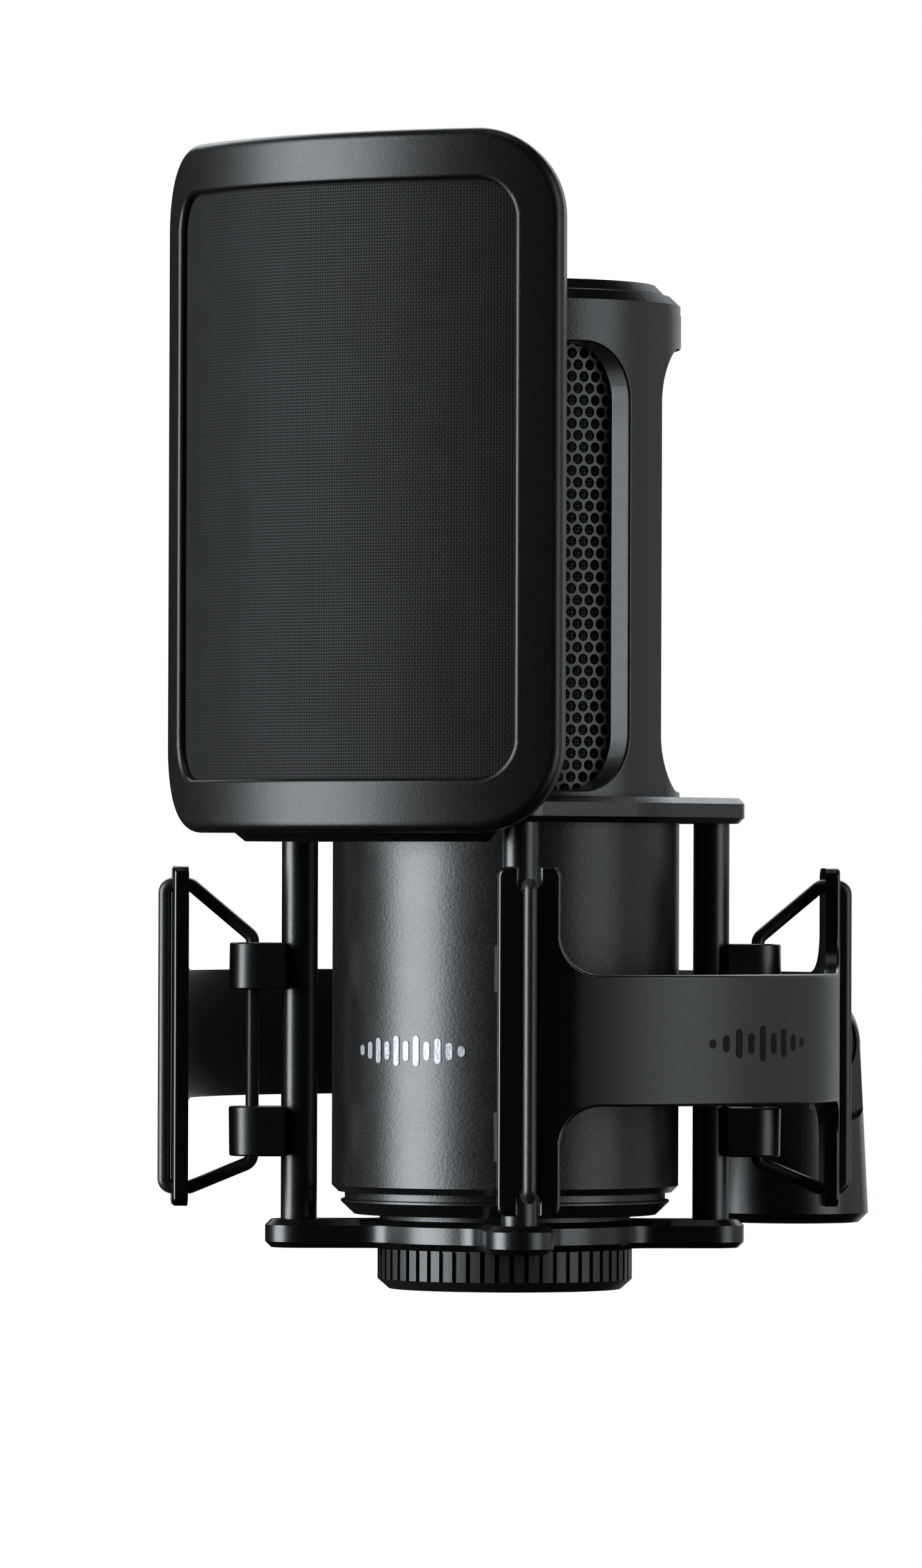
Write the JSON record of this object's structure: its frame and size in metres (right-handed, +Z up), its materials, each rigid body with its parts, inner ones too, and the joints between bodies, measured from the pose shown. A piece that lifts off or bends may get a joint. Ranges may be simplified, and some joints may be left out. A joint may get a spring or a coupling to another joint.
{
  "type": "condenser microphone",
  "caption": "Side-address condenser microphone in an elastic shock mount with a clip-on arc-shaped pop filter and a tilting stand adapter.",
  "frame": {"origin": "centre of the stand thread's mouth, at the adapter's underside", "axes": "+Z up along the stand's axis, -Y towards the front of the microphone and its pop filter, +X to the microphone's left as it faces the singer"},
  "size_m": [0.1014, 0.1262, 0.1728],
  "materials": {
    "mic_coat": "fine textured black powder coat",
    "cage_coat": "satin black powder coat",
    "bracket_moulding": "satin to gloss black moulding",
    "satin_moulding": "satin black moulding",
    "grip_moulding": "satin black knurled moulding",
    "filter_moulding": "fine textured black moulding",
    "elastic": "smooth black elastic",
    "grille_metal": "black coated perforated metal",
    "woven_mesh": "charcoal woven mesh",
    "black_steel": "black oxide",
    "sleeve_steel": "nickel plated, cut thread",
    "magnet_plating": "nickel plated",
    "brass_parts": "turned brass",
    "capsule_brass": "turned brass",
    "gold_foil": "gold sputtered film",
    "inner_plastic": "plain black plastic",
    "circuit_green": "green solder mask",
    "silver_mark": "satin silver print"
  },
  "bodies": {
    "stand_mount": {"stand_adapter": "satin_moulding", "thread_sleeve": "sleeve_steel", "pivot_bolt": "black_steel", "friction_washers": "inner_plastic"},
    "tilt_lock": {"tilt_knob": "grip_moulding", "knob_insert": "brass_parts"},
    "bracket": {"bracket_frame": "bracket_moulding", "swivel_tongue": "satin_moulding", "tongue_screws": "black_steel"},
    "cage": {"top_plate": "cage_coat", "plate_magnets": "magnet_plating", "bottom_plate": "cage_coat", "post_screws": "black_steel", "seat_pad": "elastic", "post_front_right": "cage_coat", "post_rear_right": "cage_coat", "post_rear_left": "cage_coat", "post_front_left": "cage_coat", "cord_clip_upper_front_right": "satin_moulding", "cord_clip_upper_rear_right": "satin_moulding", "cord_clip_upper_rear_left": "satin_moulding", "cord_clip_upper_front_left": "satin_moulding", "cord_clip_lower_front_right": "satin_moulding", "cord_clip_lower_rear_right": "satin_moulding", "cord_clip_lower_rear_left": "satin_moulding", "cord_clip_lower_front_left": "satin_moulding", "elastic_loop_front_right": "elastic", "elastic_loop_rear_right": "elastic", "elastic_loop_rear_left": "elastic", "elastic_loop_front_left": "elastic"},
    "microphone": {"top_cap": "mic_coat", "housing": "mic_coat", "grille": "grille_metal", "inner_screen": "woven_mesh", "capsule_ring": "capsule_brass", "capsule_diaphragms": "gold_foil", "capsule_mount": "inner_plastic", "body_tube": "mic_coat", "mic_base": "mic_coat", "base_screws": "black_steel", "xlr_insert": "inner_plastic", "xlr_pins": "brass_parts", "circuit_frame": "inner_plastic", "circuit_board": "circuit_green", "badge": "silver_mark"},
    "ring": {"locking_ring": "grip_moulding"},
    "pop_filter": {"filter_bezel": "filter_moulding", "filter_frame": "filter_moulding", "filter_mesh": "woven_mesh", "filter_mesh_rear": "woven_mesh", "filter_magnets": "magnet_plating"}
  },
  "joints": [
    {"name": "bracket_tilt", "type": "hinge", "parent": "stand_mount", "child": "bracket", "pos_m": [0, 0, 0.028], "axis": [1, 0, 0], "range_deg": [-90, 15]},
    {"name": "knob_turn", "type": "hinge", "parent": "stand_mount", "child": "tilt_lock", "pos_m": [-0.014, 0, 0.028], "axis": [1, 0, 0], "continuous": true},
    {"name": "cage_float", "type": "slide", "parent": "bracket", "child": "cage", "axis": [0, 0, 1], "range_m": [-0.004, 0.004], "stiffness_N_per_m": 1500, "springref_m": 0.00445, "deforming": ["elastic_loop_front_right", "elastic_loop_rear_right", "elastic_loop_rear_left", "elastic_loop_front_left"]},
    {"name": "microphone_turn", "type": "hinge", "parent": "cage", "child": "microphone", "pos_m": [0, -0.0677, 0.03], "axis": [0, 0, 1], "continuous": true},
    {"name": "ring_turn", "type": "hinge", "parent": "cage", "child": "ring", "pos_m": [0, -0.0677, -0.005], "axis": [0, 0, 1], "continuous": true},
    {"name": "filter_pull", "type": "slide", "parent": "cage", "child": "pop_filter", "axis": [0, -1, 0], "range_m": [0, 0.04]}
  ]
}
